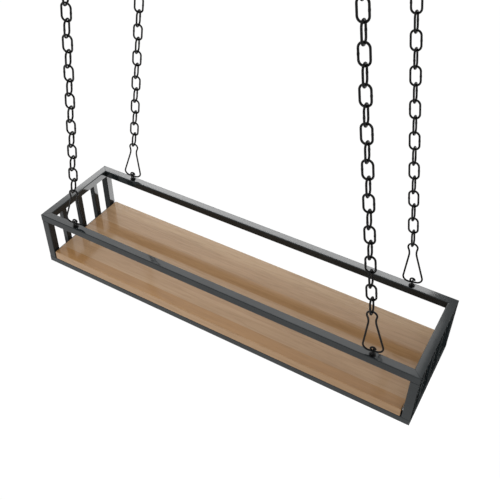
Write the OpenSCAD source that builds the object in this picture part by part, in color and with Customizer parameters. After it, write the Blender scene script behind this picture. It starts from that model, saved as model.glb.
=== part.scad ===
// Hanging shelf: an open steel tray with a wooden board, hung from four ceiling hooks by
// welded chains and wire clips. Millimetres, +Z up, +X along the tray, -Y towards the front.
// The origin is on the ceiling, in the middle of the four screw hooks.

/* [Tray] */
// Length of the tray frame
tray_l = 610; // [400:5:900]
// Width of the tray frame, front to back
tray_w = 152.5; // [120:0.5:300]
// Height of the tray frame
tray_h = 95.5; // [70:0.5:160]
// Side of the square tube of the top rails and the posts
tube_w = 12; // [12:0.5:20]
// Wall of every tube
tube_wall = 1.2; // [0.8:0.1:1.4]
// Height of the bottom rails
bottom_rail_h = 10.5; // [8:0.5:16]
// Side of the square tube of the end slats
slat_w = 9; // [6:0.5:11]
// Distance from one end slat to the next
slat_pitch = 37; // [20:1:40]

/* [Board] */
// Thickness of the board
board_t = 14; // [12:0.5:25]
// Gap between the board's end and the posts
board_gap = 2; // [0.5:0.5:6]
// Bevel along the board's edges
board_bevel = 0.8; // [0.2:0.1:2]
// Diameter of the board screws
screw_d = 3.5; // [3:0.1:4.5]
// Diameter of the board screws' heads
screw_head_d = 7; // [6:0.5:9]
// Height of the board screws' heads
screw_head_h = 2.2; // [1.5:0.1:3]
// How deep the screws go into the board
screw_bite = 9; // [6:0.5:11]
// Distance of the outer board screws from the tray's end
screw_inset = 55; // [30:1:120]

/* [Eye bolts] */
// Distance of the eye bolts from the tray's end
eye_inset = 65; // [30:1:120]
// Bore of the ring
eye_bore = 5; // [4.8:0.1:7]
// Wire of the ring
eye_wire = 2.2; // [1.8:0.1:2.6]
// Diameter of the threaded shank
eye_shank_d = 4; // [3:0.5:4]
// Length of the threaded shank below the rail's face
eye_shank_l = 8.8; // [7:0.1:9]
// Diameter of the collar under the ring
eye_collar_d = 6.5; // [5:0.5:8]
// Height of the collar under the ring
eye_collar_h = 1.5; // [1:0.1:3]
// Outer diameter of the rivet nut's barrel
rivet_d = 6; // [5.5:0.1:7]
// Diameter of the rivet nut's flange and of the bulb that grips the wall
rivet_flange_d = 9; // [8:0.5:9.5]
// Thickness of the rivet nut's flange
rivet_flange_t = 0.8; // [0.5:0.1:1.5]
// Length of the rivet nut's bulb under the wall
rivet_bulb_h = 2.4; // [1.5:0.1:3]
// Length of the rivet nut below the rail's face
rivet_l = 8; // [6:0.1:8.5]

/* [Clips] */
// Wire of the clips
clip_wire = 2.5; // [2:0.1:2.9]
// Height of a clip between the centres of its wire
clip_h = 66; // [55:1:90]
// Width of the clip's foot between the centres of its wire
clip_foot_w = 26; // [22:0.5:34]
// Width of the clip's waist between the centres of its wire
clip_waist_w = 9.4; // [7.5:0.1:11]
// Width of the clip's head between the centres of its wire
clip_head_w = 12.8; // [12:0.1:16]
// Bend radius of the two corners of the foot
clip_corner_r = 8; // [5:0.5:9]
// Bend radius of the waist
clip_waist_r = 20; // [12:1:26]
// Bend radius of the latch loop that closes the foot round the ring
latch_r = 3.2; // [3.1:0.1:3.7]
// How far the latch loop bends round the ring
latch_turn = 280; // [250:5:285]
// How far from the middle of the foot the wire's other end meets the latch loop
latch_meet = 2; // [1.8:0.1:2.4]

/* [Chains] */
// Number of links in each chain
chain_links = 19; // [9:2:31]
// Wire of the links
link_wire = 2.6; // [2:0.1:3]
// Outer length of a link
link_l = 26.2; // [22:0.2:36]
// Outer width of a link
link_w = 14.5; // [13:0.5:18]
// Turn of the two left chains about the vertical
left_turn = 14; // [-30:1:30]
// Turn of the two right chains about the vertical
right_turn = 4; // [-30:1:30]

/* [Ceiling hooks] */
// Distance between the left hooks and the right ones
hook_spacing = 340; // [280:2:480]
// Wire of the hooks
hook_wire = 4.5; // [3.5:0.1:5]
// Bend radius of the bowl, to the centre of the wire
hook_bowl_r = 11; // [10:0.5:16]
// Bend radius of the neck above the bowl
hook_neck_r = 4.5; // [4:0.5:6]
// Straight length between the collar and the neck
hook_neck_l = 2.5; // [1:0.5:10]
// How far the tip rises above the middle of the bowl, as an angle
hook_tip_angle = 25; // [0:1:35]
// Diameter of the collar against the ceiling
hook_collar_d = 13; // [10:0.5:20]
// Thickness of the collar
hook_collar_t = 1.5; // [1:0.1:3]
// Length of the screw above the ceiling, with its point
hook_screw_l = 28; // [20:1:50]
// Length of the screw's point
hook_point_l = 6; // [4:0.5:8]
// Width of the screw's tip
hook_point_d = 1; // [0.5:0.1:2]

/* [Clearances] */
// Gap where a chain hangs in its hook and where a clip holds its eye
joint_gap = 0.4; // [0.3:0.05:0.6]
// Gap between one link and the next
link_gap = 0.2; // [0.1:0.05:0.4]
// Gap round a shank in its hole
hole_gap = 0.05; // [0.02:0.01:0.2]
// Gap round and above a screw
screw_gap = 0.25; // [0.1:0.05:0.5]

/* [Hidden] */
$fn = 48;

// The four corners: name, side along X, side along Y
CORNERS = [["front_left", -1, -1], ["front_right", 1, -1], ["back_left", -1, 1], ["back_right", 1, 1]];
function name(c) = c[0];
function sx(c) = c[1];
function sy(c) = c[2];
function turn(c) = sx(c) < 0 ? left_turn : right_turn;

// The end slats: name, place across the tray in pitches
SLATS = [["front", -1], ["middle", 0], ["back", 1]];
ENDS = [["left", -1], ["right", 1]];
SIDES = [["front", -1], ["back", 1]];

// Hook: where its neck bend meets the bowl, and how far the bowl's wire lies below the ceiling
neck_turn = acos(hook_neck_r / (hook_neck_r + hook_bowl_r));
bowl_z = -hook_collar_t - hook_neck_l - (hook_neck_r + hook_bowl_r) * sin(neck_turn);
hang_z = bowl_z - hook_bowl_r;

// Chain, along its own axis from the centre of the clip's foot wire
link_r = (link_w - link_wire) / 2;
link_run = link_l - link_w;
link_reach = (link_l - link_wire) / 2;
link_pitch = link_l - 2 * link_wire - link_gap;
first_link_z = clip_h - (clip_wire + link_wire) / 2 - link_gap + link_reach;
last_link_z = first_link_z + (chain_links - 1) * link_pitch;
chain_l = last_link_z + link_reach - (link_wire + hook_wire) / 2 - joint_gap;

// Places of the hooks and of the clips' feet
eye_x = tray_l / 2 - eye_inset;
hook_x = hook_spacing / 2;
chain_lean = asin((eye_x - hook_x) / chain_l);
foot_z = hang_z - chain_l * cos(chain_lean);

// Tray, hung from the feet of the clips
eye_y = tray_w / 2 - tube_w / 2;
eye_ring_r = (eye_bore + eye_wire) / 2;
ring_sink = eye_wire / 2;
ring_rise = rivet_flange_t + eye_collar_h - ring_sink + eye_ring_r + eye_wire / 2;
foot_rise = ring_rise + eye_bore / 2 - clip_wire / 2 - joint_gap;
tray_z = foot_z - foot_rise - tray_h;
post_h = tray_h - tube_w - bottom_rail_h;
board_l = tray_l - 2 * (tube_w + board_gap);
screw_pitch = tray_l / 2 - screw_inset;
SCREWS = [-screw_pitch, 0, screw_pitch];

// Clip outline: the head's circle, the waist's circle and the corner's circle, joined by a tangent
clip_head_r = clip_head_w / 2;
head_z = clip_h - clip_head_r;
head_dip = acos((clip_waist_w / 2 + clip_waist_r) / (clip_head_r + clip_waist_r));
waist_c = [clip_waist_w / 2 + clip_waist_r, head_z - (clip_head_r + clip_waist_r) * sin(head_dip)];
corner_c = [clip_foot_w / 2 - clip_corner_r, clip_corner_r];
span = norm(waist_c - corner_c);
span_angle = atan2(waist_c[1] - corner_c[1], waist_c[0] - corner_c[0]);
leg_angle = span_angle + asin((clip_corner_r + clip_waist_r) / span);
leg_l = sqrt(span * span - pow(clip_corner_r + clip_waist_r, 2));

// Extra radius of every second piece of a bent wire, and how far the others run into it
wire_swell = 0.01;
wire_lap = 0.05;

steel = [0.20, 0.21, 0.22];
wire_black = [0.10, 0.10, 0.10];
zinc = [0.62, 0.63, 0.64];
wood = [0.63, 0.50, 0.38];

// Where one piece of bent wire ends, and its heading there
function end_of(p) = len(p) == 1 ? [p[0], 0, 0] : [p[0] * sin(abs(p[1])), sign(p[1]) * p[0] * (1 - cos(p[1])), p[1]];

// A bend of round wire from the origin along +X, to the left when the angle is positive
module bend(d, r, angle, over = 0) {
    mirror([0, angle < 0 ? 1 : 0, 0])
        translate([0, r, 0])
            rotate([0, 0, -90 - over])
                rotate_extrude(angle = abs(angle) + 2 * over)
                    translate([r, 0])
                        circle(d = d);
}

// Round wire bent in the XY plane, from the origin along +X. A piece is [length] where the wire is
// straight and [radius, angle] where it is bent. Every second piece is a hair thicker, and the
// thinner ones run a little way into it, so that the whole wire is one solid.
module bent_wire(d, pieces, i = 0) {
    if (i < len(pieces)) {
        p = pieces[i];
        lap = i % 2 == 0 ? wire_lap : 0;
        piece_d = i % 2 == 0 ? d : d + 2 * wire_swell;
        if (len(p) == 1)
            translate([-lap, 0, 0])
                rotate([0, 90, 0])
                    cylinder(h = p[0] + 2 * lap, d = piece_d);
        else
            bend(piece_d, p[0], p[1], lap / p[0] * 180 / PI);
        end = end_of(p);
        translate([end[0], end[1], 0])
            rotate([0, 0, end[2]])
                bent_wire(d, pieces, i + 1);
    }
}

// Stands a wire that was bent in the XY plane up in the XZ plane
module upright() {
    rotate([90, 0, 0])
        children();
}

// The frame of one chain: its foot at the origin, its own axis along +Z, its flat links facing Y
module at_chain(c) {
    translate([sx(c) * eye_x, sy(c) * eye_y, foot_z])
        rotate([0, -sx(c) * chain_lean, 0])
            rotate([0, 0, turn(c)])
                children();
}

// One welded link, standing in the XZ plane
module link() {
    for (e = [0, 180])
        rotate([0, e, 0]) {
            translate([0, 0, link_run / 2])
                rotate([90, 0, 0])
                    rotate_extrude(angle = 180)
                        translate([link_r, 0])
                            circle(d = link_wire);
            translate([link_r, 0, -link_run / 2])
                cylinder(h = link_run, d = link_wire);
        }
}

// Every second link of a chain: the edge-on ones start at the clip, the flat ones hang between them
module chain_links_of(c, first) {
    color(wire_black)
        at_chain(c)
            for (i = [first : 2 : chain_links - 1])
                translate([0, 0, first_link_z + i * link_pitch])
                    rotate([0, 0, first == 0 ? 90 : 0])
                        link();
}

// Gourd-shaped clip of one wire. It starts as a loop round the eye bolt's ring, runs along the foot
// and round the clip, and its other end closes against the loop
module clip(c) {
    half_foot = clip_foot_w / 2 - clip_corner_r;
    waist_turn = leg_angle - 90 + head_dip;
    color(wire_black)
        at_chain(c)
            upright()
                translate([0, latch_r, 0])
                    rotate([0, 0, -latch_turn])
                        translate([0, -latch_r, 0])
                            bent_wire(clip_wire, [
                                [latch_r, latch_turn],
                                [half_foot],
                                [clip_corner_r, leg_angle],
                                [leg_l],
                                [clip_waist_r, -waist_turn],
                                [clip_head_r, 180 + 2 * head_dip],
                                [clip_waist_r, -waist_turn],
                                [leg_l],
                                [clip_corner_r, leg_angle],
                                [half_foot - latch_meet]
                            ]);
}

// Ring on a collar and a threaded shank, its ring square to the clip's foot
module eye_bolt(c) {
    color(wire_black)
        translate([sx(c) * eye_x, sy(c) * eye_y, tray_z + tray_h])
            rotate([0, 0, turn(c)]) {
                translate([0, 0, ring_rise])
                    rotate([0, 90, 0])
                        rotate_extrude()
                            translate([eye_ring_r, 0])
                                circle(d = eye_wire);
                translate([0, 0, rivet_flange_t])
                    cylinder(h = eye_collar_h, d = eye_collar_d);
                translate([0, 0, -eye_shank_l])
                    cylinder(h = eye_shank_l + rivet_flange_t, d = eye_shank_d);
            }
}

// Threaded inserts that grip the thin top wall of the long rails
module rivet_nuts() {
    color(zinc)
        for (c = CORNERS)
            translate([sx(c) * eye_x, sy(c) * eye_y, tray_z + tray_h])
                difference() {
                    union() {
                        cylinder(h = rivet_flange_t, d = rivet_flange_d);
                        translate([0, 0, -rivet_l])
                            cylinder(h = rivet_l, d = rivet_d);
                        translate([0, 0, -tube_wall - rivet_bulb_h])
                            cylinder(h = rivet_bulb_h, d = rivet_flange_d);
                    }
                    translate([0, 0, -rivet_l - 1])
                        cylinder(h = rivet_l + rivet_flange_t + 2, d = eye_shank_d + 2 * hole_gap);
                }
}

// Square tube along X with its ends mitred at 45 degrees, its long side on y = 0
module mitred_tube(l, h) {
    difference() {
        linear_extrude(height = h)
            polygon([[-l / 2, 0], [l / 2, 0], [l / 2 - tube_w, tube_w], [-l / 2 + tube_w, tube_w]]);
        translate([-l / 2 - 1, tube_wall, tube_wall])
            cube([l + 2, tube_w - 2 * tube_wall, h - 2 * tube_wall]);
    }
}

// Puts a rail that is built along X with its outer side on y = 0 against one side of the tray
module at_side(s) {
    translate([0, s[1] * tray_w / 2, tray_z])
        mirror([0, s[1] > 0 ? 1 : 0, 0])
            children();
}

module at_end(s) {
    translate([s[1] * tray_l / 2, 0, tray_z])
        rotate([0, 0, s[1] * 90])
            children();
}

module top_rail_long(s) {
    color(steel)
        at_side(s)
            translate([0, 0, tray_h - tube_w])
                difference() {
                    mitred_tube(tray_l, tube_w);
                    for (x = [-eye_x, eye_x])
                        translate([x, tube_w / 2, tube_w - tube_wall - 1])
                            cylinder(h = tube_wall + 2, d = rivet_d + 2 * hole_gap);
                }
}

module top_rail_short(s) {
    color(steel)
        at_end(s)
            translate([0, 0, tray_h - tube_w])
                mitred_tube(tray_w, tube_w);
}

module bottom_rail_long(s) {
    color(steel)
        at_side(s)
            difference() {
                mitred_tube(tray_l, bottom_rail_h);
                for (x = SCREWS)
                    translate([x, tube_w / 2, -1])
                        cylinder(h = bottom_rail_h + 2, d = screw_d + 2 * screw_gap);
            }
}

module bottom_rail_short(s) {
    color(steel)
        at_end(s)
            mitred_tube(tray_w, bottom_rail_h);
}

// Upright square tube between the bottom rails and the top rails
module upright_tube(x, y, w) {
    color(steel)
        translate([x, y, tray_z + bottom_rail_h])
            difference() {
                translate([-w / 2, -w / 2, 0])
                    cube([w, w, post_h]);
                translate([-w / 2 + tube_wall, -w / 2 + tube_wall, -1])
                    cube([w - 2 * tube_wall, w - 2 * tube_wall, post_h + 2]);
            }
}

module post(c) {
    upright_tube(sx(c) * (tray_l - tube_w) / 2, sy(c) * (tray_w - tube_w) / 2, tube_w);
}

module slat(e, s) {
    upright_tube(e[1] * (tray_l - tube_w) / 2, s[1] * slat_pitch, slat_w);
}

// Board laid on the bottom rails, flush with the front and the back of the frame
module board() {
    h = tray_w / 2;
    b = board_bevel;
    color(wood)
        translate([-board_l / 2, 0, tray_z + bottom_rail_h])
            difference() {
                rotate([90, 0, 90])
                    linear_extrude(height = board_l)
                        polygon([
                            [-h + b, 0], [h - b, 0], [h, b], [h, board_t - b],
                            [h - b, board_t], [-h + b, board_t], [-h, board_t - b], [-h, b]
                        ]);
                for (s = SIDES, x = SCREWS)
                    translate([board_l / 2 + x, s[1] * eye_y, -1])
                        cylinder(h = screw_bite + 1 + screw_gap, d = screw_d + 2 * hole_gap);
            }
}

// Pan-head screws from below, through the long bottom rails into the board
module board_screws() {
    color(zinc)
        for (s = SIDES, x = SCREWS)
            translate([x, s[1] * eye_y, tray_z]) {
                cylinder(h = bottom_rail_h + screw_bite, d = screw_d);
                translate([0, 0, -screw_head_h])
                    cylinder(h = screw_head_h, d = screw_head_d);
            }
}

// Screw hook: screw and collar at the ceiling, a bent neck and a round bowl under the screw
module ceiling_hook(c) {
    color(wire_black)
        translate([sx(c) * hook_x, sy(c) * eye_y, 0])
            rotate([0, 0, turn(c)]) {
                cylinder(h = hook_screw_l - hook_point_l, d = hook_wire);
                translate([0, 0, hook_screw_l - hook_point_l])
                    cylinder(h = hook_point_l, d1 = hook_wire, d2 = hook_point_d);
                translate([0, 0, -hook_collar_t])
                    cylinder(h = hook_collar_t, d = hook_collar_d);
                translate([0, 0, -hook_collar_t])
                    upright()
                        rotate([0, 0, -90])
                            bent_wire(hook_wire, [
                                [hook_neck_l],
                                [hook_neck_r, -neck_turn],
                                [hook_bowl_r, 180 + neck_turn + hook_tip_angle]
                            ]);
            }
}

for (c = CORNERS) {
    ceiling_hook(c);
    chain_links_of(c, 1);
    chain_links_of(c, 0);
    clip(c);
    eye_bolt(c);
    post(c);
}
rivet_nuts();
for (s = SIDES) {
    top_rail_long(s);
    bottom_rail_long(s);
}
for (e = ENDS) {
    top_rail_short(e);
    bottom_rail_short(e);
    for (s = SLATS)
        slat(e, s);
}
board();
board_screws();
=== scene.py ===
"""Hanging shelf: a dark steel tray with a wooden board, hung on four welded chains.

Metres, +X along the tray, -Y to its front, +Z up. The origin is on the ceiling, between the hooks.
"""
import bmesh
import bpy
import math
from mathutils import Matrix, Vector


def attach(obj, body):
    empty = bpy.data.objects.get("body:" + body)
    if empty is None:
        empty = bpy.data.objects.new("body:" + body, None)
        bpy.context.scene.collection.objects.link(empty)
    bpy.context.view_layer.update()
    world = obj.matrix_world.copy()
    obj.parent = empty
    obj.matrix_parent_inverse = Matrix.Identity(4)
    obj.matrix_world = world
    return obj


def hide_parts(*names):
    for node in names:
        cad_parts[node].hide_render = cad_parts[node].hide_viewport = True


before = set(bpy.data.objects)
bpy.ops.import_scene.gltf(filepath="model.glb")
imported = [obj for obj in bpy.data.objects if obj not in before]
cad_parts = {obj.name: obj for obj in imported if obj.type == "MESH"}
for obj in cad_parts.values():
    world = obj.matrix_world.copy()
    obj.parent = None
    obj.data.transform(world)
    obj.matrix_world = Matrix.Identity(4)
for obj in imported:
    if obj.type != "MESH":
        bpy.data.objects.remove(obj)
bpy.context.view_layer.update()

MM = 0.001

# Sizes, as in the part's source

TRAY_L, TRAY_W, TRAY_H = 610 * MM, 152.5 * MM, 95.5 * MM
TUBE, TUBE_WALL, BOTTOM_RAIL_H = 12 * MM, 1.2 * MM, 10.5 * MM
SLAT, SLAT_PITCH = 9 * MM, 37 * MM

BOARD_T, BOARD_GAP = 14 * MM, 2 * MM
SCREW_INSET, SCREW_HEAD_D, SCREW_HEAD_H = 55 * MM, 7 * MM, 2.2 * MM

EYE_INSET, EYE_BORE, EYE_WIRE = 65 * MM, 5 * MM, 2.2 * MM
SHANK_D, SHANK_L, COLLAR_D, COLLAR_H = 4 * MM, 8.8 * MM, 6.5 * MM, 1.5 * MM
RIVET_D, RIVET_L, BULB_H, FLANGE_D, FLANGE_T = 6 * MM, 8 * MM, 2.4 * MM, 9 * MM, 0.8 * MM

CLIP_WIRE, CLIP_H, CLIP_FOOT_W = 2.5 * MM, 66 * MM, 26 * MM
CLIP_WAIST_W, CLIP_HEAD_W = 9.4 * MM, 12.8 * MM
CLIP_CORNER_R, CLIP_WAIST_R = 8 * MM, 20 * MM
LATCH_R, LATCH_TURN, LATCH_MEET = 3.2 * MM, math.radians(280), 2 * MM

LINKS, LINK_WIRE, LINK_L, LINK_W = 19, 2.6 * MM, 26.2 * MM, 14.5 * MM

HOOK_SPACING, HOOK_WIRE, HOOK_BOWL_R = 340 * MM, 4.5 * MM, 11 * MM
HOOK_NECK_R, HOOK_NECK_L = 4.5 * MM, 2.5 * MM
HOOK_COLLAR_D, HOOK_COLLAR_T, HOOK_SCREW_L, HOOK_POINT_L = 13 * MM, 1.5 * MM, 28 * MM, 6 * MM

JOINT_GAP, LINK_GAP, HOLE_GAP = 0.4 * MM, 0.2 * MM, 0.05 * MM

# corner name, side along X, side along Y, turn of the chain about its own axis
CORNERS = [
    ("front_left", -1, -1, math.radians(14)),
    ("front_right", 1, -1, math.radians(4)),
    ("back_left", -1, 1, math.radians(14)),
    ("back_right", 1, 1, math.radians(4)),
]

# Fine sizes that only the scene has: rounded corners and edges, the board's staves and the threads

TUBE_CORNER, TUBE_END_EDGE, BOARD_EDGE = 1.1 * MM, 0.22 * MM, 0.9 * MM
STAVE_W, FIRST_STAVE_Y = 21.3 * MM, -79.3 * MM
THREAD_PITCH, THREAD_ROOT_R = 2.0 * MM, 1.75 * MM

# Heights, lengths and places that follow from them

NECK_TURN = math.acos(HOOK_NECK_R / (HOOK_NECK_R + HOOK_BOWL_R))
BOWL_Z = -HOOK_COLLAR_T - HOOK_NECK_L - (HOOK_NECK_R + HOOK_BOWL_R) * math.sin(NECK_TURN)
HANG_Z = BOWL_Z - HOOK_BOWL_R
HOOK_X = HOOK_SPACING / 2

LINK_REACH = (LINK_L - LINK_WIRE) / 2
LINK_PITCH = LINK_L - 2 * LINK_WIRE - LINK_GAP
FIRST_LINK = CLIP_H - (CLIP_WIRE + LINK_WIRE) / 2 - LINK_GAP + LINK_REACH
CHAIN_L = FIRST_LINK + (LINKS - 1) * LINK_PITCH + LINK_REACH - (LINK_WIRE + HOOK_WIRE) / 2 - JOINT_GAP

# the rails' middles along X and Y; the eye bolts and the board screws stand in the middle of the long rails
RAIL_X, RAIL_Y = (TRAY_L - TUBE) / 2, (TRAY_W - TUBE) / 2
EYE_X, SCREW_PITCH = TRAY_L / 2 - EYE_INSET, TRAY_L / 2 - SCREW_INSET
LEAN = math.asin((EYE_X - HOOK_X) / CHAIN_L)
FOOT_Z = HANG_Z - CHAIN_L * math.cos(LEAN)

EYE_R = (EYE_BORE + EYE_WIRE) / 2
RING_RISE = FLANGE_T + COLLAR_H + EYE_R
TRAY_TOP = FOOT_Z - RING_RISE - EYE_BORE / 2 + CLIP_WIRE / 2 + JOINT_GAP
TRAY_Z = TRAY_TOP - TRAY_H
UPRIGHT_LOW, UPRIGHT_HIGH = TRAY_Z + BOTTOM_RAIL_H, TRAY_TOP - TUBE
BOARD_L, BOARD_Z = TRAY_L - 2 * (TUBE + BOARD_GAP), TRAY_Z + BOTTOM_RAIL_H + BOARD_T / 2


# Shaping helpers

SAME_POINT, ON_PLANE = 1e-6, 1e-7
BEND_STEP = math.radians(9)


def turn(angle, axis):
    return Matrix.Rotation(angle, 4, axis)


def move(x, y, z):
    return Matrix.Translation((x, y, z))


def scale(x, y, z):
    return Matrix.Diagonal((x, y, z, 1))


# stands a wire that was bent in the XY plane up in the XZ plane
STAND_UP = turn(math.pi / 2, "X")


def put(name, data):
    """Puts a mesh, a lamp or a camera into the scene."""
    thing = bpy.data.objects.new(name, data)
    bpy.context.scene.collection.objects.link(thing)
    return thing


def closed_mesh(bm, name):
    """Merges a shape's doubles, points its faces outwards and keeps it as a mesh."""
    bmesh.ops.remove_doubles(bm, verts=bm.verts, dist=SAME_POINT)
    bmesh.ops.recalc_face_normals(bm, faces=bm.faces)
    mesh = bpy.data.meshes.new(name)
    bm.to_mesh(mesh)
    bm.free()
    return mesh


def make_piece(name, bm, finish, body, nodes=(), sharp=35, flat=False):
    """Closes up a shape, gives it its finish and hangs it on its body.

    Edges of more than sharp degrees stay sharp, and flat keeps flat faces flat in the light.
    """
    mesh = closed_mesh(bm, name)
    mesh.polygons.foreach_set("use_smooth", [True] * len(mesh.polygons))
    mesh.set_sharp_from_angle(angle=math.radians(sharp))
    mesh.materials.append(finish)
    piece = put(name, mesh)
    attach(piece, body)
    if flat:
        weighted = piece.modifiers.new("flat_faces", "WEIGHTED_NORMAL")
        weighted.keep_sharp = True
    if nodes:
        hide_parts(*nodes)


def place(bm, shape, matrix):
    """Adds a copy of a finished shape to bm, moved by matrix."""
    copy = shape.copy()
    copy.transform(matrix)
    bm.from_mesh(copy)
    bpy.data.meshes.remove(copy)


def of_kind(kind, geom):
    return [g for g in geom if isinstance(g, kind)]


def edges_among(verts):
    """The edges that have both their ends among verts."""
    inside = set(verts)
    return list(dict.fromkeys(e for v in verts for e in v.link_edges if inside.issuperset(e.verts)))


def next_ring(bm, edges):
    """Draws a ring of new faces out of a loop of edges and returns the new corners, still in place."""
    return of_kind(bmesh.types.BMVert, bmesh.ops.extrude_edge_only(bm, edges=edges)["geom"])


def middle_of(verts):
    return sum((v.co for v in verts), Vector()) / len(verts)


def widen(bm, verts, share):
    """Makes a ring of corners wider or narrower about its own middle."""
    bmesh.ops.scale(bm, vec=(share, share, share), space=Matrix.Translation(-middle_of(verts)), verts=verts)


def rounded(bm, edges, offset, segments):
    bmesh.ops.bevel(bm, geom=edges, offset=offset, offset_type="OFFSET", segments=segments, profile=0.5,
                    affect="EDGES", material=-1)


def spun(bm, geom, angle, steps, centre=(0, 0, 0), step_rise=0.0, full=False):
    """Spins geom about Z through centre and returns the edges at the end of the turn."""
    last = bmesh.ops.spin(bm, geom=geom, cent=centre, axis=(0, 0, 1), dvec=(0, 0, step_rise), angle=angle,
                          space=Matrix.Identity(4), steps=steps, use_merge=full,
                          use_normal_flip=False, use_duplicate=False)["geom_last"]
    return of_kind(bmesh.types.BMEdge, last)


def turned(bm, outline, steps, matrix=Matrix.Identity(4)):
    """Turns an outline of (radius, height) points about Z and moves it by matrix."""
    before = set(bm.verts)
    verts = [bm.verts.new((r, 0, z)) for r, z in outline]
    edges = [bm.edges.new(pair) for pair in zip(verts, verts[1:])]
    spun(bm, verts + edges, 2 * math.pi, steps, full=True)
    bmesh.ops.transform(bm, matrix=matrix, verts=[v for v in bm.verts if v not in before])


def ring(bm, r, d, matrix):
    """A closed ring of round wire about Z, moved by matrix."""
    before = set(bm.verts)
    circle = bmesh.ops.create_circle(bm, cap_ends=False, segments=14, radius=d / 2,
                                     matrix=move(r, 0, 0) @ turn(math.pi / 2, "X"))
    spun(bm, edges_among(circle["verts"]), 2 * math.pi, 36, full=True)
    bmesh.ops.transform(bm, matrix=matrix, verts=[v for v in bm.verts if v not in before])


def wire_start(bm, d, sides):
    """The round end of a wire at the origin that heads along +X."""
    circle = bmesh.ops.create_circle(bm, cap_ends=False, segments=sides, radius=d / 2,
                                     matrix=turn(math.pi / 2, "Y"))
    return edges_among(circle["verts"])


def wire_straight(bm, edges, vec, swell=((1.0, 1.0),)):
    """Runs the open end of a wire straight on. swell lists (share of the way, thickness)."""
    done, size = 0.0, 1.0
    for share, thickness in swell:
        verts = next_ring(bm, edges)
        bmesh.ops.translate(bm, verts=verts, vec=vec * (share - done))
        widen(bm, verts, thickness / size)
        edges = edges_among(verts)
        done, size = share, thickness
    return edges


def round_end(bm, edges, ahead, d):
    """Rounds off the open end of a wire with three rings: (step on, width), as shares of its thickness."""
    for step, width in ((0.19, 0.92), (0.15, 0.70), (0.09, 0.36)):
        verts = next_ring(bm, edges)
        centre = middle_of(verts)
        now = max((v.co - centre).length for v in verts)
        widen(bm, verts, width * d / 2 / now)
        bmesh.ops.translate(bm, verts=verts, vec=ahead * (step * d))
        edges = edges_among(verts)
    bmesh.ops.edgeloop_fill(bm, edges=edges)


def bent_wire(bm, d, pieces, sides=14):
    """A wire in the XY plane from the origin along +X, its start cut flat and its end rounded.

    A piece is (length,) where the wire is straight and (radius, angle) where it is bent.
    """
    edges = wire_start(bm, d, sides)
    bmesh.ops.edgeloop_fill(bm, edges=edges)
    at, heading = Vector((0, 0, 0)), 0.0
    for piece in pieces:
        ahead = Vector((math.cos(heading), math.sin(heading), 0))
        if len(piece) == 1:
            edges = wire_straight(bm, edges, ahead * piece[0])
            at += ahead * piece[0]
        else:
            r, angle = piece
            side = math.copysign(r, angle)
            centre = at + Vector((-ahead.y, ahead.x, 0)) * side
            edges = spun(bm, edges, angle, max(3, round(abs(angle) / BEND_STEP)), centre)
            heading += angle
            at = centre - Vector((-math.sin(heading), math.cos(heading), 0)) * side
    round_end(bm, edges, Vector((math.cos(heading), math.sin(heading), 0)), d)


def chain_frame(corner):
    """The frame of one chain: its foot at the origin, its own axis along +Z."""
    _, sx, sy, twist = corner
    return move(sx * EYE_X, sy * RAIL_Y, FOOT_Z) @ turn(-sx * LEAN, "Y") @ turn(twist, "Z")


# Finishes

class Tree:
    """A short way to write nodes. A socket takes another node's output or a plain value."""

    def __init__(self, tree):
        self.tree = tree

    def add(self, kind, **settings):
        node = self.tree.nodes.new(kind)
        for key, value in settings.items():
            setattr(node, key, value)
        return node

    def plug(self, socket, value):
        if isinstance(value, bpy.types.NodeSocket):
            self.tree.links.new(value, socket)
        else:
            socket.default_value = value

    def math(self, kind, a, b=0.0, c=0.0):
        node = self.add("ShaderNodeMath", operation=kind)
        for socket, value in zip(node.inputs, (a, b, c)):
            self.plug(socket, value)
        return node.outputs[0]

    def between(self, value, low, high, to_low=0.0, to_high=1.0):
        """Eases from to_low, where value is low, over to to_high, where it is high."""
        node = self.add("ShaderNodeMapRange", interpolation_type="SMOOTHSTEP")
        for key, v in zip(("Value", "From Min", "From Max", "To Min", "To Max"),
                          (value, low, high, to_low, to_high)):
            self.plug(node.inputs[key], v)
        return node.outputs["Result"]


class Finish(Tree):
    """The nodes of one finish, whose patterns lie on Object coordinates."""

    def __init__(self, name):
        self.material = bpy.data.materials.new(name)
        self.material.use_nodes = True
        super().__init__(self.material.node_tree)
        self.shader = self.tree.nodes["Principled BSDF"]
        self.place = self.add("ShaderNodeTexCoord").outputs["Object"]

    def stretch(self, scale, source):
        node = self.add("ShaderNodeMapping", vector_type="POINT")
        self.plug(node.inputs["Vector"], source)
        self.plug(node.inputs["Scale"], scale)
        return node.outputs["Vector"]

    def noise(self, scale, detail, rough, source=None, distortion=0.0):
        node = self.add("ShaderNodeTexNoise")
        for key, value in (("Vector", source or self.place), ("Scale", scale), ("Detail", detail),
                           ("Roughness", rough), ("Distortion", distortion)):
            self.plug(node.inputs[key], value)
        return node.outputs["Fac"]

    def blend(self, factor, a, b, kind="MIX"):
        node = self.add("ShaderNodeMix", data_type="RGBA", blend_type=kind)
        for index, value in ((0, factor), (6, a), (7, b)):
            self.plug(node.inputs[index], value)
        return node.outputs[2]

    def bump(self, height, strength, distance):
        node = self.add("ShaderNodeBump")
        for key, value in (("Strength", strength), ("Distance", distance), ("Height", height)):
            self.plug(node.inputs[key], value)
        self.plug(self.shader.inputs["Normal"], node.outputs["Normal"])

    def coat(self, **values):
        """Sets the shader's own sockets, such as Base_Color."""
        for key, value in values.items():
            self.plug(self.shader.inputs[key.replace("_", " ")], value)


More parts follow.
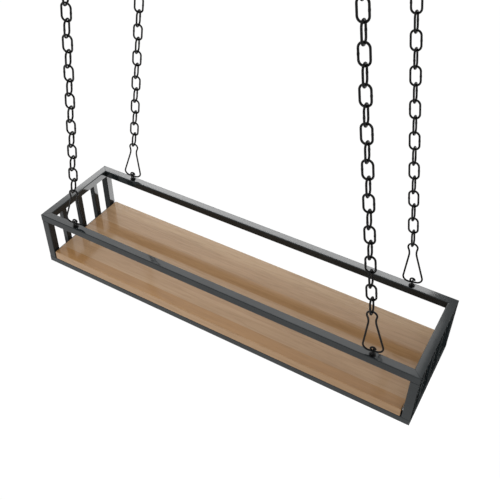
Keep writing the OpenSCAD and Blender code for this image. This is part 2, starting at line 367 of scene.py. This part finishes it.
def powder_coat(name, colour, rough, grain, specular):
    """Satin powder coat on steel: fine orange peel, slightly uneven gloss and tone."""
    n = Finish(name)
    peel = n.noise(900, 3, 0.6)
    speck = n.noise(2600, 2, 0.5)
    cloud = n.noise(22, 4, 0.6)
    darker, lighter = (tuple(c * share for c in colour) + (1,) for share in (0.82, 1.25))
    n.coat(Base_Color=n.blend(n.between(cloud, 0.35, 0.65), darker, lighter),
           Roughness=n.math("ADD", n.math("MULTIPLY", cloud, 0.06), rough - 0.03),
           Specular_IOR_Level=specular)
    n.bump(n.math("ADD", peel, n.math("MULTIPLY", speck, 0.35)), grain, 0.12 * MM)
    return n.material


def zinc_plating(name):
    """Bright zinc: pale, slightly blue metal with a fine cloudy gloss."""
    n = Finish(name)
    cloud = n.noise(160, 4, 0.6)
    n.coat(Base_Color=n.blend(n.between(cloud, 0.3, 0.7), (0.52, 0.54, 0.56, 1), (0.68, 0.69, 0.70, 1)),
           Roughness=n.math("ADD", n.math("MULTIPLY", cloud, 0.2), 0.22),
           Metallic=1.0)
    n.bump(n.noise(1500, 2, 0.5), 0.15, 0.1 * MM)
    return n.material


# the wood's tones, each dark and light, and what they are blended with
TAN = ((0.315, 0.200, 0.112, 1), (0.360, 0.236, 0.138, 1))
PALE = ((0.375, 0.255, 0.148, 1), (0.412, 0.284, 0.170, 1))
BROWN = ((0.280, 0.152, 0.062, 1), (0.316, 0.176, 0.075, 1))
# a painted highlight for the board's front face and the front of its rounded edge
PAINTED_FRONT_HIGHLIGHT = (0.420, 0.270, 0.155, 1)
FIBRE, PORE = (0.150, 0.080, 0.036, 1), (0.130, 0.068, 0.030, 1)
# the first two are painted shade, for the board's right end and its back half; END_GRAIN is the end grain's
# own darker tone
PAINTED_END_SHADE, PAINTED_BACK_SHADE, END_GRAIN = (0.80, 0.77, 0.72, 1), (0.95, 0.94, 0.93, 1), (0.55, 0.47, 0.38, 1)


def wood_grain(n, stave):
    """Three patterns drawn out along the staves, from broad to fine. Each stave comes from another log."""
    shift = n.add("ShaderNodeCombineXYZ")
    n.plug(shift.inputs["X"], n.math("MULTIPLY", stave, 3.7))
    n.plug(shift.inputs["Z"], n.math("MULTIPLY", stave, 1.3))
    log = n.add("ShaderNodeVectorMath", operation="ADD")
    n.plug(log.inputs[0], n.place)
    n.plug(log.inputs[1], shift.outputs[0])
    log = log.outputs[0]
    return (n.noise(6, 3, 0.5, n.stretch((0.8, 9, 9), log), 1.2),
            n.noise(24, 6, 0.6, n.stretch((0.75, 12, 12), log), 1.0),
            n.noise(120, 4, 0.7, n.stretch((0.5, 11, 11), log), 0.4))


def year_rings(n, y, z, stave):
    """The year rings of each stave, turned heart up and heart down by turns, as its ends show them."""
    first_heart_y, heart_off = -67 * MM, 22 * MM
    heart = n.add("ShaderNodeCombineXYZ")
    n.plug(heart.inputs["Y"], n.math("ADD", n.math("MULTIPLY", stave, -STAVE_W),
                                     n.math("SUBTRACT", y, first_heart_y)))
    side = n.math("PINGPONG", stave, 1.0)
    n.plug(heart.inputs["Z"], n.math("ADD", z, n.math("MULTIPLY_ADD", side, 2 * heart_off,
                                                      -heart_off - BOARD_Z)))
    rings = n.add("ShaderNodeTexWave", wave_type="RINGS", rings_direction="X", wave_profile="SAW")
    for key, value in (("Vector", heart.outputs[0]), ("Scale", 170.0), ("Distortion", 0.8),
                       ("Detail", 3.0), ("Detail Scale", 0.4)):
        n.plug(rings.inputs[key], value)
    return rings.outputs["Fac"]


def lacquered_wood(name):
    """Board glued up from long staves, brown and tan, under a thin clear lacquer, with painted shade at its
    right end, over its back half and under the back rail, and a painted highlight on its front face.
    """
    n = Finish(name)
    split = n.add("ShaderNodeSeparateXYZ")
    n.plug(split.inputs[0], n.place)
    x, y, z = split.outputs
    stave = n.math("FLOOR", n.math("DIVIDE", n.math("SUBTRACT", y, FIRST_STAVE_Y), STAVE_W))
    broad, fibre, fine = wood_grain(n, stave)
    figure = n.between(broad, 0.3, 0.7)
    tan, pale, brown = (n.blend(figure, dark, light) for dark, light in (TAN, PALE, BROWN))
    # brown in the first stave from the front; on the fifth, painted shade under the back rail, blended 0.6 of
    # the way to that brown; paler sapwood to the back
    first = n.math("LESS_THAN", stave, 0.5)
    rail_shade = n.math("MULTIPLY", n.math("GREATER_THAN", stave, 3.5), n.math("LESS_THAN", stave, 4.5))
    brown_stave_and_shade = n.math("MAXIMUM", first, n.math("MULTIPLY", rail_shade, 0.6))
    sapwood = n.between(y, 44 * MM, 68 * MM)
    tone = n.blend(brown_stave_and_shade, n.blend(sapwood, tan, pale), brown)
    # painted highlight: the board's front face and the lower part of its rounded front edge are lighter
    front_highlight = n.math("LESS_THAN", y, -TRAY_W / 2 + 0.65 * MM)
    tone = n.blend(front_highlight, tone, PAINTED_FRONT_HIGHLIGHT)
    tone = n.blend(n.between(fibre, 0.42, 0.72, 0.0, 0.28), tone, FIBRE)
    tone = n.blend(n.between(fine, 0.50, 0.80, 0.0, 0.22), tone, PORE)
    # painted shade: the board grows darker towards its right end, where the end rails shade it
    tone = n.blend(n.between(x, -60 * MM, 270 * MM), tone, PAINTED_END_SHADE, "MULTIPLY")
    # painted shade: the back half of the board a little darker
    tone = n.blend(n.between(y, -20 * MM, 40 * MM), tone, PAINTED_BACK_SHADE, "MULTIPLY")
    on_end = n.math("GREATER_THAN", n.math("ABSOLUTE", x), BOARD_L / 2 - 0.4 * MM)
    late_wood = n.between(year_rings(n, y, z, stave), 0.25, 1.0)
    end_tone = n.blend(0.25, n.blend(late_wood, tone, END_GRAIN, "MULTIPLY"), END_GRAIN, "MULTIPLY")
    n.coat(Base_Color=n.blend(on_end, tone, end_tone),
           Roughness=n.math("ADD", n.math("MULTIPLY", fibre, 0.08), 0.07),
           Specular_IOR_Level=0.15)
    n.bump(n.math("ADD", fine, n.math("MULTIPLY", fibre, 0.6)), 0.10, 0.2 * MM)
    return n.material


FRAME_PAINT = powder_coat("frame_paint", (0.0110, 0.0142, 0.0154), 0.08, 0.03, 0.3)
WIRE_PAINT = powder_coat("wire_paint", (0.0025, 0.0025, 0.0026), 0.32, 0.05, 0.14)
ZINC = zinc_plating("zinc_plating")
BOARD_WOOD = lacquered_wood("lacquered_wood")


# Tray frame

def tube_bar(bm, length, width, height, matrix, mitred=False):
    """A square tube along X, its middle at the origin and its outer side on -Y, ends square or mitred."""
    bar = bmesh.ops.create_cube(bm, size=1.0, matrix=scale(length, width, height))
    rounded(bm, [e for e in edges_among(bar["verts"]) if e.calc_length() > length / 2], TUBE_CORNER, 4)
    if mitred:
        for end in (-1, 1):
            cut = bmesh.ops.bisect_plane(bm, geom=bm.verts[:] + bm.edges[:] + bm.faces[:], dist=ON_PLANE,
                                         plane_co=(end * length / 2, -width / 2, 0), plane_no=(end, 1, 0),
                                         clear_outer=True)
            bmesh.ops.edgeloop_fill(bm, edges=of_kind(bmesh.types.BMEdge, cut["geom_cut"]))
    # a small break along the end rims leaves the fine line of a ground weld
    ends = [f for f in bm.faces if abs(f.normal.x) > 0.5 and len(f.verts) > 8]
    rounded(bm, list(dict.fromkeys(e for f in ends for e in f.edges)), TUBE_END_EDGE, 1)
    bmesh.ops.transform(bm, matrix=matrix, verts=bm.verts)


def rail(name, length, height, matrix):
    bm = bmesh.new()
    tube_bar(bm, length, TUBE, height, matrix, mitred=True)
    make_piece(name, bm, FRAME_PAINT, "tray", [name], flat=True)


def upright(name, x, y, width):
    bm = bmesh.new()
    tube_bar(bm, UPRIGHT_HIGH - UPRIGHT_LOW, width, width,
             move(x, y, (UPRIGHT_LOW + UPRIGHT_HIGH) / 2) @ turn(math.pi / 2, "Y"))
    make_piece(name, bm, FRAME_PAINT, "tray", [name], flat=True)


for level, height, z in (("top", TUBE, TRAY_TOP - TUBE / 2),
                         ("bottom", BOTTOM_RAIL_H, TRAY_Z + BOTTOM_RAIL_H / 2)):
    rail(level + "_rail_front", TRAY_L, height, move(0, -RAIL_Y, z))
    rail(level + "_rail_back", TRAY_L, height, move(0, RAIL_Y, z) @ turn(math.pi, "Z"))
    rail(level + "_rail_left", TRAY_W, height, move(-RAIL_X, 0, z) @ turn(-math.pi / 2, "Z"))
    rail(level + "_rail_right", TRAY_W, height, move(RAIL_X, 0, z) @ turn(math.pi / 2, "Z"))
for corner, sx, sy, _ in CORNERS:
    upright("post_" + corner, sx * RAIL_X, sy * RAIL_Y, TUBE)
for end, sx in (("left", -1), ("right", 1)):
    for row, step in (("front", -1), ("middle", 0), ("back", 1)):
        upright("slat_%s_%s" % (end, row), sx * RAIL_X, step * SLAT_PITCH, SLAT)


def weld_beads():
    """Short fillet welds where the uprights meet the rails, in the corners at the uprights' sides."""
    bead_r, bead_out, bead_share = 0.95 * MM, 0.15 * MM, 0.40
    bm, bead = bmesh.new(), bmesh.new()
    bmesh.ops.create_icosphere(bead, subdivisions=2, radius=1.0)
    bead = closed_mesh(bead, "bead")
    uprights = [(s * RAIL_Y, TUBE) for s in (-1, 1)] + [(k * SLAT_PITCH, SLAT) for k in (-1, 0, 1)]
    corners = [(y, width, side) for y, width in uprights for side in (-1, 1)]
    # the outer sides of the posts are flush with the rails, so they have none
    inner = [c for c in corners if abs(c[0] + c[2] * c[1] / 2) < TRAY_W / 2 - 1 * MM]
    for sx in (-1, 1):
        for z, up in ((UPRIGHT_LOW, 1), (UPRIGHT_HIGH, -1)):
            for y, width, side in inner:
                place(bm, bead, move(sx * RAIL_X, y + side * (width / 2 + bead_out), z + up * bead_out)
                      @ scale(width * bead_share, bead_r, bead_r))
    make_piece("weld_beads", bm, FRAME_PAINT, "tray", sharp=80)


weld_beads()


# Board

def board():
    bm = bmesh.new()
    bmesh.ops.create_cube(bm, size=1.0, matrix=scale(BOARD_L, TRAY_W, BOARD_T))
    rounded(bm, bm.edges[:], BOARD_EDGE, 4)
    bmesh.ops.transform(bm, matrix=move(0, 0, BOARD_Z), verts=bm.verts)
    make_piece("board", bm, BOARD_WOOD, "tray", ["board"], flat=True)


board()


def cross_recess(bm, rim_edges):
    """Sinks a cross into a flat round face, from its rim inwards: outline, tapered walls and floor."""
    arm_l, arm_half_w, depth, taper = 1.5 * MM, 0.42 * MM, 1.3 * MM, 0.72
    outline = next_ring(bm, rim_edges)
    for v in outline:
        way = v.co.xy.normalized()
        along, beside = max(map(abs, way)), min(map(abs, way))
        v.co.xy = way * min(arm_l / along, arm_half_w / max(beside, 0.01))
    bottom = next_ring(bm, edges_among(outline))
    bmesh.ops.translate(bm, verts=bottom, vec=(0, 0, depth))
    bmesh.ops.scale(bm, vec=(taper, taper, 1), verts=bottom)
    bmesh.ops.edgeloop_fill(bm, edges=edges_among(bottom))


def screw_shape():
    """Pan-head screw, head down, its head's upper face at z = 0."""
    bm = bmesh.new()
    steps, head_r = 24, SCREW_HEAD_D / 2
    shank_r, length, point_l = 1.6 * MM, 19.4 * MM, 2.4 * MM
    rim = bmesh.ops.create_circle(bm, cap_ends=False, segments=steps, radius=head_r * 0.70,
                                  matrix=move(0, 0, -SCREW_HEAD_H))
    edges = edges_among(rim["verts"])
    cross_recess(bm, edges)
    # outwards from the rim, the round of the head and its side: (share of its radius, share of its height)
    for radius, z in ((0.90, -0.86), (1.0, -0.55), (1.0, -0.04), (0.97, 0.0)):
        verts = next_ring(bm, edges)
        grow = radius * head_r / verts[0].co.xy.length
        bmesh.ops.scale(bm, vec=(grow, grow, 1), verts=verts)
        bmesh.ops.translate(bm, verts=verts, vec=(0, 0, z * SCREW_HEAD_H - verts[0].co.z))
        edges = edges_among(verts)
    turned(bm, [(0.0, length), (shank_r * 0.7, length - point_l / 2), (shank_r, length - point_l),
                (shank_r, 0), (head_r * 0.97, 0)], steps)
    return closed_mesh(bm, "board_screw")


def board_screws():
    bm = bmesh.new()
    screw = screw_shape()
    for sy in (-1, 1):
        for k in (-1, 0, 1):
            driven = turn(0.6 * k + 0.9 * sy, "Z")
            place(bm, screw, move(k * SCREW_PITCH, sy * RAIL_Y, TRAY_Z) @ driven)
    make_piece("board_screws", bm, ZINC, "tray", ["board_screws"])


board_screws()


# Eye bolts and rivet nuts

def rivet_nuts():
    """Threaded inserts in the long rails: a barrel, a bulb that grips the wall and a flange on top."""
    bore, barrel, flange = SHANK_D / 2 + HOLE_GAP, RIVET_D / 2, FLANGE_D / 2
    hole, slope, edge = barrel + HOLE_GAP, 0.7 * MM, 0.2 * MM
    bm = bmesh.new()
    for _, sx, sy, _ in CORNERS:
        turned(bm, [(bore, -RIVET_L), (barrel, -RIVET_L), (barrel, -TUBE_WALL - BULB_H),
                    (flange, -TUBE_WALL - BULB_H + slope), (flange, -TUBE_WALL - slope),
                    (hole, -TUBE_WALL), (hole, 0), (flange - edge, 0), (flange, 0.15 * MM),
                    (flange, FLANGE_T - edge), (flange - edge, FLANGE_T), (bore, FLANGE_T),
                    (bore, -RIVET_L)], 32, move(sx * EYE_X, sy * RAIL_Y, TRAY_TOP))
    make_piece("rivet_nuts", bm, WIRE_PAINT, "tray", ["rivet_nuts"])


rivet_nuts()


def eye_bolt(corner):
    """A ring on a collar and a shank, its ring square to the clip's foot."""
    name, sx, sy, twist = corner
    shank, collar, top, edge = SHANK_D / 2, COLLAR_D / 2, FLANGE_T + COLLAR_H, 0.2 * MM
    at = move(sx * EYE_X, sy * RAIL_Y, TRAY_TOP) @ turn(twist, "Z")
    bm = bmesh.new()
    ring(bm, EYE_R, EYE_WIRE, at @ move(0, 0, RING_RISE) @ turn(math.pi / 2, "Y"))
    turned(bm, [(0.0, -SHANK_L), (shank - 0.3 * MM, -SHANK_L), (shank, -SHANK_L + 0.3 * MM),
                (shank, FLANGE_T), (collar - edge, FLANGE_T), (collar, FLANGE_T + edge),
                (collar, top - 0.5 * MM), (collar - 0.5 * MM, top - 0.1 * MM), (1.9 * MM, top), (0.0, top)],
           32, at)
    make_piece("eye_bolt_" + name, bm, WIRE_PAINT, "tray", ["eye_bolt_" + name])


for corner in CORNERS:
    eye_bolt(corner)


# Clips

def clip_pieces():
    """The wire of a clip from the middle of its foot: corner, leg, waist, head and back to the latch loop."""
    head_r = CLIP_HEAD_W / 2
    dip = math.acos((CLIP_WAIST_W / 2 + CLIP_WAIST_R) / (head_r + CLIP_WAIST_R))
    waist = Vector((CLIP_WAIST_W / 2 + CLIP_WAIST_R,
                    CLIP_H - head_r - (head_r + CLIP_WAIST_R) * math.sin(dip)))
    corner = Vector((CLIP_FOOT_W / 2 - CLIP_CORNER_R, CLIP_CORNER_R))
    span = waist - corner
    leg_turn = math.atan2(span.y, span.x) + math.asin((CLIP_CORNER_R + CLIP_WAIST_R) / span.length)
    leg = math.sqrt(span.length ** 2 - (CLIP_CORNER_R + CLIP_WAIST_R) ** 2)
    waist_turn = leg_turn - math.pi / 2 + dip
    foot = CLIP_FOOT_W / 2 - CLIP_CORNER_R
    # the rounded end of the wire reaches round the last of the latch loop
    end_turn = math.radians(19)
    return [(foot - LATCH_MEET,), (CLIP_CORNER_R, leg_turn), (leg,), (CLIP_WAIST_R, -waist_turn),
            (head_r, math.pi + 2 * dip), (CLIP_WAIST_R, -waist_turn), (leg,), (CLIP_CORNER_R, leg_turn),
            (foot,), (LATCH_R, LATCH_TURN - end_turn)]


def clip(corner):
    name = corner[0]
    bm = bmesh.new()
    bent_wire(bm, CLIP_WIRE, clip_pieces())
    hung = chain_frame(corner) @ STAND_UP @ scale(-1, 1, 1) @ move(LATCH_MEET, 0, 0)
    bmesh.ops.transform(bm, matrix=hung, verts=bm.verts)
    make_piece("clip_" + name, bm, WIRE_PAINT, "chain_" + name, ["clip_" + name])


for corner in CORNERS:
    clip(corner)


# Chains

def link_shape():
    """One welded link standing in the XZ plane, with the weld's small bulge in the middle of one side."""
    bm = bmesh.new()
    r, run = (LINK_W - LINK_WIRE) / 2, LINK_L - LINK_W
    weld = [(0.34, 1.0), (0.40, 1.07), (0.47, 1.13), (0.53, 1.13), (0.60, 1.07), (0.66, 1.0), (1.0, 1.0)]
    edges = wire_start(bm, LINK_WIRE, 12)
    edges = wire_straight(bm, edges, Vector((run, 0, 0)), weld)
    edges = spun(bm, edges, math.pi, 14, (run, r, 0))
    edges = wire_straight(bm, edges, Vector((-run, 0, 0)))
    spun(bm, edges, math.pi, 14, (0, r, 0))
    bmesh.ops.transform(bm, matrix=STAND_UP @ turn(math.pi / 2, "Z") @ move(-run / 2, -r, 0), verts=bm.verts)
    return closed_mesh(bm, "link")


LINK = link_shape()


def chain_links(corner, kind, first, quarter):
    """Every second link of a chain, one in three of them with its weld on the other side."""
    name = "chain_%s_links_%s" % (kind, corner[0])
    bm = bmesh.new()
    for i in range(first, LINKS, 2):
        half = math.pi if i % 3 == 0 else 0
        place(bm, LINK, chain_frame(corner) @ move(0, 0, FIRST_LINK + i * LINK_PITCH)
              @ turn(quarter + half, "Z"))
    make_piece(name, bm, WIRE_PAINT, "chain_" + corner[0], [name])


for corner in CORNERS:
    chain_links(corner, "edge", 0, math.pi / 2)
    chain_links(corner, "flat", 1, 0)


# Ceiling hooks

def screw_thread():
    """The hook's thread, a helical ridge that runs out on the screw's point."""
    root, per_turn = THREAD_ROOT_R - 0.1 * MM, 16
    low, high, point_z = 4.2 * MM, HOOK_SCREW_L - 3 * MM, HOOK_SCREW_L - HOOK_POINT_L
    bm = bmesh.new()
    verts = [bm.verts.new(p) for p in ((root, 0, low), (HOOK_WIRE / 2, 0, low + THREAD_PITCH * 0.30),
                                       (root, 0, low + THREAD_PITCH * 0.60))]
    edges = [bm.edges.new(pair) for pair in zip(verts, verts[1:] + verts[:1])]
    bmesh.ops.contextual_create(bm, geom=edges)
    steps = int((high - low) / THREAD_PITCH * per_turn)
    last = spun(bm, edges, 2 * math.pi * steps / per_turn, steps, step_rise=THREAD_PITCH / per_turn)
    bmesh.ops.contextual_create(bm, geom=last)
    for v in bm.verts:
        if v.co.z > point_z:
            v.co.xy *= max(0.12, (HOOK_SCREW_L - v.co.z) / HOOK_POINT_L)
    return closed_mesh(bm, "screw_thread")


THREAD = screw_thread()


def ceiling_hook(corner):
    """A bowl of bent wire under a collar, with its screw above."""
    name, sx, sy, twist = corner
    bm = bmesh.new()
    bent_wire(bm, HOOK_WIRE, [(HOOK_NECK_L,), (HOOK_NECK_R, -NECK_TURN),
                              (HOOK_BOWL_R, math.pi + NECK_TURN + math.radians(15))], sides=20)
    down = move(0, 0, -HOOK_COLLAR_T) @ STAND_UP @ turn(-math.pi / 2, "Z")
    bmesh.ops.transform(bm, matrix=down, verts=bm.verts)
    collar, under, edge, wire_r = HOOK_COLLAR_D / 2, -HOOK_COLLAR_T, 0.2 * MM, HOOK_WIRE / 2
    turned(bm, [(0.0, under), (3.2 * MM, under), (collar - 0.6 * MM, under + edge), (collar, under / 2),
                (collar, -edge), (collar - edge, 0), (wire_r, 0), (wire_r, 3.0 * MM),
                (THREAD_ROOT_R, 3.6 * MM), (THREAD_ROOT_R, HOOK_SCREW_L - HOOK_POINT_L),
                (0.35 * MM, HOOK_SCREW_L - 0.3 * MM), (0.0, HOOK_SCREW_L)], 40)
    place(bm, THREAD, Matrix.Identity(4))
    bmesh.ops.transform(bm, matrix=move(sx * HOOK_X, sy * RAIL_Y, 0) @ turn(twist, "Z"), verts=bm.verts)
    name = "ceiling_hook_" + name
    make_piece(name, bm, WIRE_PAINT, "ceiling_hooks", [name])


for corner in CORNERS:
    ceiling_hook(corner)


# Floor and room

def flat_sheet(name, x, y, z, width, depth, finish):
    """A level sheet of paper or card, which isn't part of the object."""
    bm = bmesh.new()
    bmesh.ops.create_grid(bm, x_segments=1, y_segments=1, size=0.5,
                          matrix=move(x, y, z) @ scale(width, depth, 1))
    mesh = bpy.data.meshes.new(name)
    bm.to_mesh(mesh)
    bm.free()
    mesh.materials.append(finish)
    sheet = put(name, mesh)
    return sheet


def plain_white_share(n, share):
    """The share of plain white that the camera, gloss and glass see; diffuse light sees none of it."""
    path = n.add("ShaderNodeLightPath").outputs
    seen = n.math("MAXIMUM", path["Is Camera Ray"], path["Is Glossy Ray"])
    return n.math("MULTIPLY", n.math("MAXIMUM", seen, path["Is Transmission Ray"]), share)


def floor():
    """White paper below the shelf, which keeps its soft shadow."""
    paper = bpy.data.materials.new("white_paper")
    paper.use_nodes = True
    n = Tree(paper.node_tree)
    n.tree.nodes.clear()
    diffuse = n.add("ShaderNodeBsdfDiffuse")
    n.plug(diffuse.inputs["Color"], (0.88, 0.88, 0.88, 1))
    glow = n.add("ShaderNodeEmission")
    n.plug(glow.inputs["Strength"], 1.0)
    mix = n.add("ShaderNodeMixShader")
    for socket, value in zip(mix.inputs, (plain_white_share(n, 0.85), diffuse.outputs[0], glow.outputs[0])):
        n.plug(socket, value)
    n.plug(n.add("ShaderNodeOutputMaterial").inputs["Surface"], mix.outputs[0])
    flat_sheet("floor", 0, 0, -1.60, 60, 60, paper)


floor()


def room():
    """A plain white room; its light is stronger from the ceiling."""
    world = bpy.data.worlds.new("room")
    bpy.context.scene.world = world
    world.use_nodes = True
    n = Tree(world.node_tree)
    direction = n.add("ShaderNodeSeparateXYZ")
    n.plug(direction.inputs[0], n.add("ShaderNodeTexCoord").outputs["Generated"])
    strength = n.add("ShaderNodeMix", data_type="FLOAT")
    for index, value in ((0, plain_white_share(n, 1.0)), (3, 1.0),
                         (2, n.between(direction.outputs["Z"], 0.05, 0.65, 0.55, 1.20))):
        n.plug(strength.inputs[index], value)
    background = n.tree.nodes["Background"]
    n.plug(background.inputs["Color"], (1.0, 1.0, 1.0, 1))
    n.plug(background.inputs["Strength"], strength.outputs[0])


room()


# Lights and cards, in metres from the middle of the ceiling

PANEL_Z = 9.5
DOWN = (0, 0, -1)


def softbox(name, at, facing, width, depth, radiance):
    """A soft panel light of one even brightness."""
    lamp = bpy.data.lights.new(name, "AREA")
    lamp.shape = "RECTANGLE"
    lamp.size, lamp.size_y = width, depth
    lamp.energy = radiance * math.pi * width * depth
    panel = put(name, lamp)
    panel.matrix_world = move(*at) @ Vector(facing).to_track_quat("-Z", "Y").to_matrix().to_4x4()
    panel.visible_camera = False


# bright panels high behind the shelf, which the back rail and the back of the left end catch
softbox("back_panel", (-5.6, 10.6, PANEL_Z), DOWN, width=8.4, depth=1.3, radiance=8.9)
softbox("side_panel", (-10.75, 10.35, PANEL_Z), DOWN, width=1.8, depth=2.0, radiance=6.7)
# a wide and weaker row in front of them, for the board and the rest of the top
for side, x, width, radiance in (("left", -9.75, 3.1, 1.75), ("middle", -6.1, 4.2, 2.15),
                                 ("right", -2.45, 3.1, 2.4)):
    softbox("top_panel_" + side, (x, 8.35, PANEL_Z), DOWN, width, 3.0, radiance)
# a small one low behind it on the right, for the faces that look to the right
softbox("low_panel", (0.50, 0.86, -1.35), (-0.56, -0.58, 0.59), width=0.75, depth=0.75, radiance=4.7)


def card(name, tone, x, y, z, width, depth):
    """A dark card lying level, seen only in gloss: the faces that mirror it stay dark in the white room."""
    n = Finish(name)
    n.coat(Base_Color=(tone, tone, tone, 1), Specular_IOR_Level=0.0)
    sheet = flat_sheet(name, x, y, z, width, depth, n.material)
    sheet.visible_camera = sheet.visible_diffuse = False
    sheet.visible_shadow = sheet.visible_transmission = False


# a black one beside the right end, for its outer faces
card("black_card", 0.01, 0.52, 0.30, -0.735, width=0.5, depth=0.8)
# a grey one beside the left end, for the fronts of its back post and slats
card("grey_card", 0.35, -0.41, -0.01, -0.63, width=0.15, depth=0.18)


# Camera, worked out from the photograph's perspective of the tray's corners

# pixels: the picture's side, the focal length and the point that the camera faces
PICTURE, FOCAL_LENGTH, FACED_X, FACED_Y = 500, 693.81, 247.86, 217.10
AZIMUTH, ELEVATION, ROLL = math.radians(29.9245), math.radians(39.3826), math.radians(0.6545)
# its place in tray lengths, from the middle of the tray's underside
CAMERA_X, CAMERA_Y, CAMERA_Z = 0.6279, -1.0371, 1.2663
SENSOR = 36


def camera():
    back = Vector((math.sin(AZIMUTH) * math.cos(ELEVATION), -math.cos(AZIMUTH) * math.cos(ELEVATION),
                   math.sin(ELEVATION)))
    level = Vector((math.cos(AZIMUTH), math.sin(AZIMUTH), 0))
    up = back.cross(level)
    axes = (level * math.cos(ROLL) + up * math.sin(ROLL), up * math.cos(ROLL) - level * math.sin(ROLL), back)
    lens = bpy.data.cameras.new("camera")
    lens.sensor_width = SENSOR
    lens.lens = FOCAL_LENGTH / PICTURE * SENSOR
    lens.shift_x = (PICTURE / 2 - FACED_X) / PICTURE
    lens.shift_y = (FACED_Y - PICTURE / 2) / PICTURE
    lens.clip_start, lens.clip_end = 0.05, 100
    thing = put("camera", lens)
    thing.matrix_world = (move(CAMERA_X * TRAY_L, CAMERA_Y * TRAY_L, CAMERA_Z * TRAY_L + TRAY_Z)
                          @ Matrix(axes).transposed().to_4x4())
    bpy.context.scene.camera = thing


camera()

bpy.context.scene.view_settings.view_transform = "Standard"
